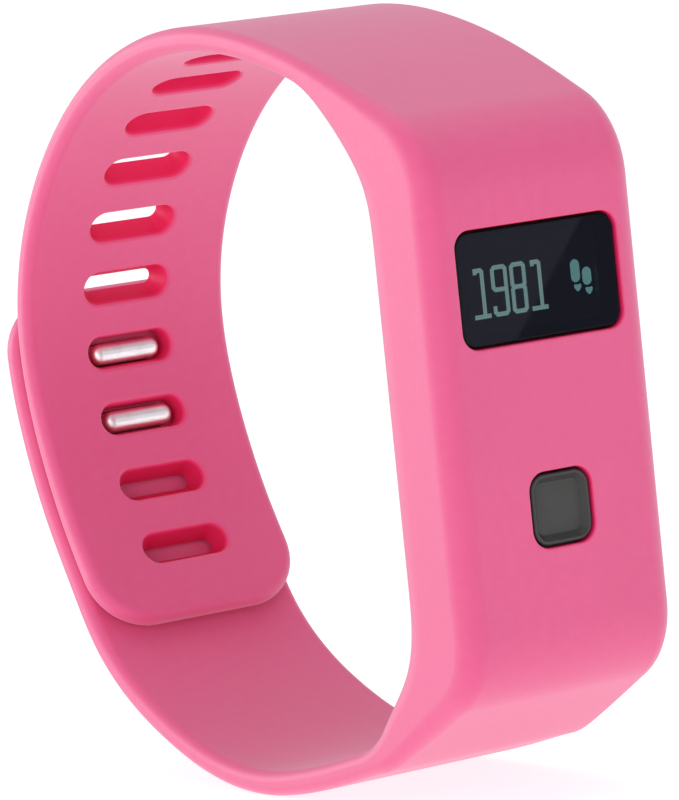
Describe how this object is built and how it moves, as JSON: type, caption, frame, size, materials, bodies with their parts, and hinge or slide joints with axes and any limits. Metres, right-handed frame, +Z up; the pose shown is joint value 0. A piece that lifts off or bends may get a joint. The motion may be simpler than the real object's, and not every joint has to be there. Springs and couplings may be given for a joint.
{
  "type": "fitness tracker band",
  "caption": "Silicone wristband with a slot-and-peg clasp, holding a pop-out tracker module with a small display and one button.",
  "frame": {"origin": "centre of the wrist opening, half way across the band's width", "axes": "+X out of the display face, +Y across the band's width, +Z up along the head, from the button to the display"},
  "size_m": [0.0697, 0.0218, 0.067],
  "materials": {
    "silicone_pink": "matte soft-touch silicone",
    "clasp_steel": "polished stainless steel",
    "case_black": "fine moulded ABS texture",
    "lens_smoke": "polished smoked acrylic",
    "tape_black": "thin black adhesive",
    "oled_glass": "display glass",
    "holder_white": "moulded bracket",
    "board_green": "solder mask",
    "chip_black": "chip package",
    "ceramic_part": "fired ceramic",
    "tin_can": "plated can",
    "cell_foil": "pouch foil",
    "foam_grey": "closed-cell foam",
    "motor_steel": "drawn can",
    "tungsten": "sintered weight",
    "button_grey": "satin moulded plastic",
    "seal_rubber": "moulded seal",
    "contact_gold": "gold-plated contact",
    "flex_amber": "polyimide film",
    "wire_red": "wire insulation"
  },
  "bodies": {
    "band": {"band_sleeve": "silicone_pink"},
    "slot_strap": {"slot_strap_end": "silicone_pink"},
    "clasp_strap": {"clasp_strap_end": "silicone_pink"},
    "clasp": {"clasp_plate": "clasp_steel", "clasp_pegs": "clasp_steel"},
    "tracker": {"front_case": "case_black", "rear_case": "case_black", "case_seal": "seal_rubber", "display_lens": "lens_smoke", "lens_tape": "tape_black", "oled_panel": "oled_glass", "display_holder": "holder_white", "oled_flex_cable": "flex_amber", "main_board": "board_green", "bluetooth_chip": "chip_black", "memory_chip": "chip_black", "accelerometer": "chip_black", "charger_chip": "chip_black", "clock_crystal": "tin_can", "chip_antenna": "ceramic_part", "board_capacitors": "ceramic_part", "battery_cell": "cell_foil", "battery_foam": "foam_grey", "battery_wires": "wire_red", "motor_can": "motor_steel", "motor_cover": "motor_steel", "motor_spindle": "motor_steel", "motor_wires": "wire_red", "button_gasket": "seal_rubber", "switch_base": "chip_black", "switch_dome": "tin_can", "charging_pins": "contact_gold", "contact_springs": "contact_gold"},
    "button": {"button_cap": "button_grey", "switch_plunger": "holder_white"},
    "rotor": {"motor_rotor": "tungsten"}
  },
  "joints": [
    {"name": "clasp_strap_peel", "type": "hinge", "parent": "band", "child": "clasp_strap", "pos_m": [-0.02517, 0, -0.01581], "axis": [0, -1, 0], "range_deg": [0, 60], "stiffness_Nm_per_rad": 0.05},
    {"name": "slot_strap_flex", "type": "hinge", "parent": "band", "child": "slot_strap", "pos_m": [-0.0222, 0, 0.01733], "axis": [0, -1, 0], "range_deg": [0, 12], "stiffness_Nm_per_rad": 0.05},
    {"name": "clasp_pull", "type": "slide", "parent": "clasp_strap", "child": "clasp", "axis": [-0.9867, 0, -0.1625], "range_m": [0, 0.006]},
    {"name": "tracker_eject", "type": "slide", "parent": "band", "child": "tracker", "axis": [-1, 0, 0], "range_m": [0, 0.012]},
    {"name": "button_press", "type": "slide", "parent": "tracker", "child": "button", "axis": [-1, 0, 0], "range_m": [0, 0.0003], "stiffness_N_per_m": 2500},
    {"name": "motor_spin", "type": "hinge", "parent": "tracker", "child": "rotor", "pos_m": [0.0307, 0, 0.0136], "axis": [1, 0, 0], "continuous": true}
  ],
  "couplings": [
    {"joint": "slot_strap_flex", "follows": "clasp_strap_peel", "ratio": 0.2}
  ]
}
